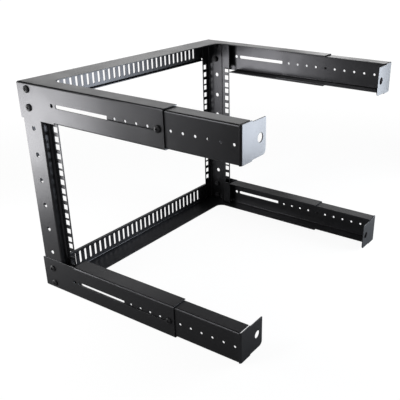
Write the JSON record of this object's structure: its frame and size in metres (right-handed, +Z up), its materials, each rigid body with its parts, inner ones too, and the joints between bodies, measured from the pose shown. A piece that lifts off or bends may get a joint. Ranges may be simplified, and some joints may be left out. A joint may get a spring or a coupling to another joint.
{
  "type": "open wall mount rack",
  "caption": "Open steel rack frame for wall mounting, with folded top and bottom frames, hole-punched posts and sliding arms that end in wall tabs.",
  "frame": {"origin": "on the floor under the middle of the rack, at the pictured extension of the arms", "axes": "X across the rack, +Y from the equipment side to the wall, +Z up"},
  "size_m": [0.5066, 0.421, 0.368],
  "materials": {
    "powder_coat": "semi-gloss black powder coat",
    "black_screw": "black oxide screws",
    "black_nut": "black zinc nuts"
  },
  "bodies": {
    "frame": {"top_frame": "powder_coat", "bottom_frame": "powder_coat", "left_post": "powder_coat", "right_post": "powder_coat", "top_right_outer_screw": "black_screw", "top_right_inner_screw": "black_screw", "bottom_right_outer_screw": "black_screw", "bottom_right_inner_screw": "black_screw", "top_left_outer_screw": "black_screw", "top_left_inner_screw": "black_screw", "bottom_left_outer_screw": "black_screw", "bottom_left_inner_screw": "black_screw", "top_right_outer_nut": "black_nut", "top_right_inner_nut": "black_nut", "bottom_right_outer_nut": "black_nut", "bottom_right_inner_nut": "black_nut", "top_left_outer_nut": "black_nut", "top_left_inner_nut": "black_nut", "bottom_left_outer_nut": "black_nut", "bottom_left_inner_nut": "black_nut"},
    "top_right": {"top_right_arm": "powder_coat", "top_right_lock_screw": "black_screw"},
    "bottom_right": {"bottom_right_arm": "powder_coat", "bottom_right_lock_screw": "black_screw"},
    "top_left": {"top_left_arm": "powder_coat", "top_left_lock_screw": "black_screw"},
    "bottom_left": {"bottom_left_arm": "powder_coat", "bottom_left_lock_screw": "black_screw"}
  },
  "joints": [
    {"name": "top_right_slide", "type": "slide", "parent": "frame", "child": "top_right", "axis": [0, 1, 0], "range_m": [-0.115, 0]},
    {"name": "bottom_right_slide", "type": "slide", "parent": "frame", "child": "bottom_right", "axis": [0, 1, 0], "range_m": [-0.115, 0]},
    {"name": "top_left_slide", "type": "slide", "parent": "frame", "child": "top_left", "axis": [0, 1, 0], "range_m": [-0.115, 0]},
    {"name": "bottom_left_slide", "type": "slide", "parent": "frame", "child": "bottom_left", "axis": [0, 1, 0], "range_m": [-0.115, 0]}
  ]
}
